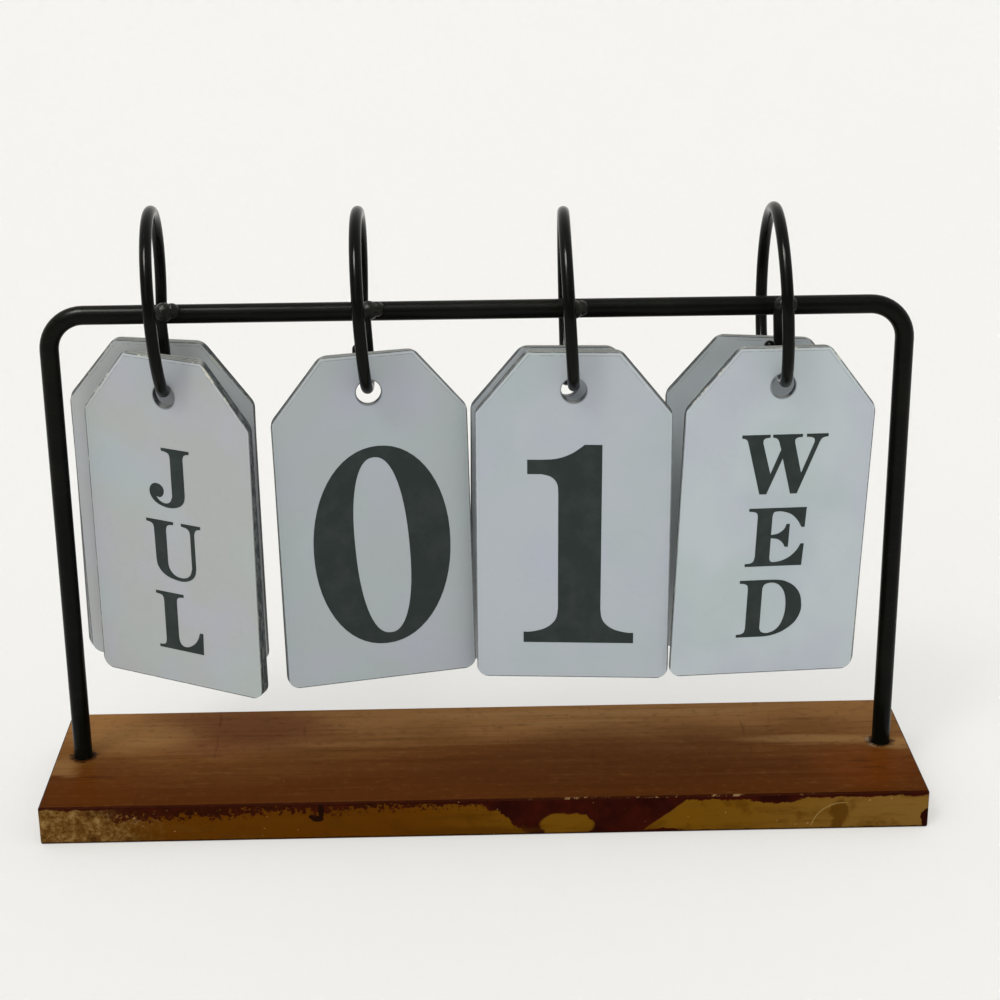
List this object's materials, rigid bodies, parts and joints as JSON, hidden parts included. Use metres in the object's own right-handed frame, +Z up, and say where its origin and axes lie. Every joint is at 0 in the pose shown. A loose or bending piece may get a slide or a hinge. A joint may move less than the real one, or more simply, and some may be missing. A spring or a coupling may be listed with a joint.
{
  "type": "perpetual desk calendar",
  "caption": "Desk calendar with printed flip tags hanging from wire hooks on a bent-rod frame over a wooden board.",
  "frame": {"origin": "middle of the board's underside", "axes": "+X to the right along the board, +Y to the back, +Z up"},
  "size_m": [0.305, 0.073, 0.2122],
  "materials": {
    "stained_wood": "satin",
    "black_rod": "satin",
    "black_wire": "satin",
    "weld_bead": "matte",
    "tag_enamel": "gloss",
    "screw_steel": "brushed"
  },
  "bodies": {
    "stand": {"base_board": "stained_wood", "frame_rod": "black_rod", "base_screws": "screw_steel", "month_hook": "black_wire", "tens_hook": "black_wire", "units_hook": "black_wire", "weekday_hook": "black_wire", "month_weld": "weld_bead", "tens_weld": "weld_bead", "units_weld": "weld_bead", "weekday_weld": "weld_bead"},
    "month_tag_1": {"month_tag_1": "tag_enamel"},
    "month_tag_2": {"month_tag_2": "tag_enamel"},
    "month_tag_3": {"month_tag_3": "tag_enamel"},
    "month_tag_4": {"month_tag_4": "tag_enamel"},
    "month_tag_5": {"month_tag_5": "tag_enamel"},
    "month_tag_6": {"month_tag_6": "tag_enamel"},
    "tens_tag_1": {"tens_tag_1": "tag_enamel"},
    "tens_tag_2": {"tens_tag_2": "tag_enamel"},
    "units_tag_1": {"units_tag_1": "tag_enamel"},
    "units_tag_2": {"units_tag_2": "tag_enamel"},
    "units_tag_3": {"units_tag_3": "tag_enamel"},
    "units_tag_4": {"units_tag_4": "tag_enamel"},
    "units_tag_5": {"units_tag_5": "tag_enamel"},
    "weekday_tag_1": {"weekday_tag_1": "tag_enamel"},
    "weekday_tag_2": {"weekday_tag_2": "tag_enamel"},
    "weekday_tag_3": {"weekday_tag_3": "tag_enamel"},
    "weekday_tag_4": {"weekday_tag_4": "tag_enamel"}
  },
  "joints": [
    {"name": "month_tag_4_flip", "type": "hinge", "parent": "stand", "child": "month_tag_4", "pos_m": [-0.10843, 0.002, 0.18018], "axis": [0.9973, 0.0697, -0.0244], "range_deg": [0, 6]},
    {"name": "month_tag_5_flip", "type": "hinge", "parent": "month_tag_4", "child": "month_tag_5", "pos_m": [-0.10843, 0.002, 0.17963], "axis": [0.9973, 0.0697, -0.0244], "range_deg": [0, 6]},
    {"name": "month_tag_6_flip", "type": "hinge", "parent": "month_tag_5", "child": "month_tag_6", "pos_m": [-0.10843, 0.002, 0.17901], "axis": [0.9973, 0.0697, -0.0244], "range_deg": [0, 235]},
    {"name": "month_tag_3_flip", "type": "hinge", "parent": "stand", "child": "month_tag_3", "pos_m": [-0.10359, 0.002, 0.18135], "axis": [-0.9961, -0.0784, -0.0393], "range_deg": [0, 6]},
    {"name": "month_tag_2_flip", "type": "hinge", "parent": "month_tag_3", "child": "month_tag_2", "pos_m": [-0.10359, 0.002, 0.18063], "axis": [-0.9961, -0.0784, -0.0393], "range_deg": [0, 6]},
    {"name": "month_tag_1_flip", "type": "hinge", "parent": "month_tag_2", "child": "month_tag_1", "pos_m": [-0.10359, 0.002, 0.17981], "axis": [-0.9961, -0.0784, -0.0393], "range_deg": [0, 235]},
    {"name": "tens_tag_2_flip", "type": "hinge", "parent": "stand", "child": "tens_tag_2", "pos_m": [-0.03664, 0.002, 0.1802], "axis": [-0.9983, -0.0157, -0.0558], "range_deg": [0, 6]},
    {"name": "tens_tag_1_flip", "type": "hinge", "parent": "tens_tag_2", "child": "tens_tag_1", "pos_m": [-0.03664, 0.002, 0.1794], "axis": [-0.9983, -0.0157, -0.0558], "range_deg": [0, 235]},
    {"name": "units_tag_4_flip", "type": "hinge", "parent": "stand", "child": "units_tag_4", "pos_m": [0.02989, 0.002, 0.17713], "axis": [0.9996, -0.0262, 0.0087], "range_deg": [0, 6]},
    {"name": "units_tag_5_flip", "type": "hinge", "parent": "units_tag_4", "child": "units_tag_5", "pos_m": [0.02989, 0.002, 0.17668], "axis": [0.9996, -0.0262, 0.0087], "range_deg": [0, 235]},
    {"name": "units_tag_3_flip", "type": "hinge", "parent": "stand", "child": "units_tag_3", "pos_m": [0.0309, 0.002, 0.18005], "axis": [-0.9981, 0.0261, -0.0558], "range_deg": [0, 6]},
    {"name": "units_tag_2_flip", "type": "hinge", "parent": "units_tag_3", "child": "units_tag_2", "pos_m": [0.0309, 0.002, 0.17926], "axis": [-0.9981, 0.0261, -0.0558], "range_deg": [0, 6]},
    {"name": "units_tag_1_flip", "type": "hinge", "parent": "units_tag_2", "child": "units_tag_1", "pos_m": [0.0309, 0.002, 0.17837], "axis": [-0.9981, 0.0261, -0.0558], "range_deg": [0, 235]},
    {"name": "weekday_tag_3_flip", "type": "hinge", "parent": "stand", "child": "weekday_tag_3", "pos_m": [0.0972, 0.002, 0.17834], "axis": [0.9996, -0.014, -0.0262], "range_deg": [0, 6]},
    {"name": "weekday_tag_4_flip", "type": "hinge", "parent": "weekday_tag_3", "child": "weekday_tag_4", "pos_m": [0.0972, 0.002, 0.17779], "axis": [0.9996, -0.014, -0.0262], "range_deg": [0, 235]},
    {"name": "weekday_tag_2_flip", "type": "hinge", "parent": "stand", "child": "weekday_tag_2", "pos_m": [0.09996, 0.002, 0.18001], "axis": [-0.9993, 0, -0.0384], "range_deg": [0, 6]},
    {"name": "weekday_tag_1_flip", "type": "hinge", "parent": "weekday_tag_2", "child": "weekday_tag_1", "pos_m": [0.09996, 0.002, 0.17919], "axis": [-0.9993, 0, -0.0384], "range_deg": [0, 235]}
  ]
}
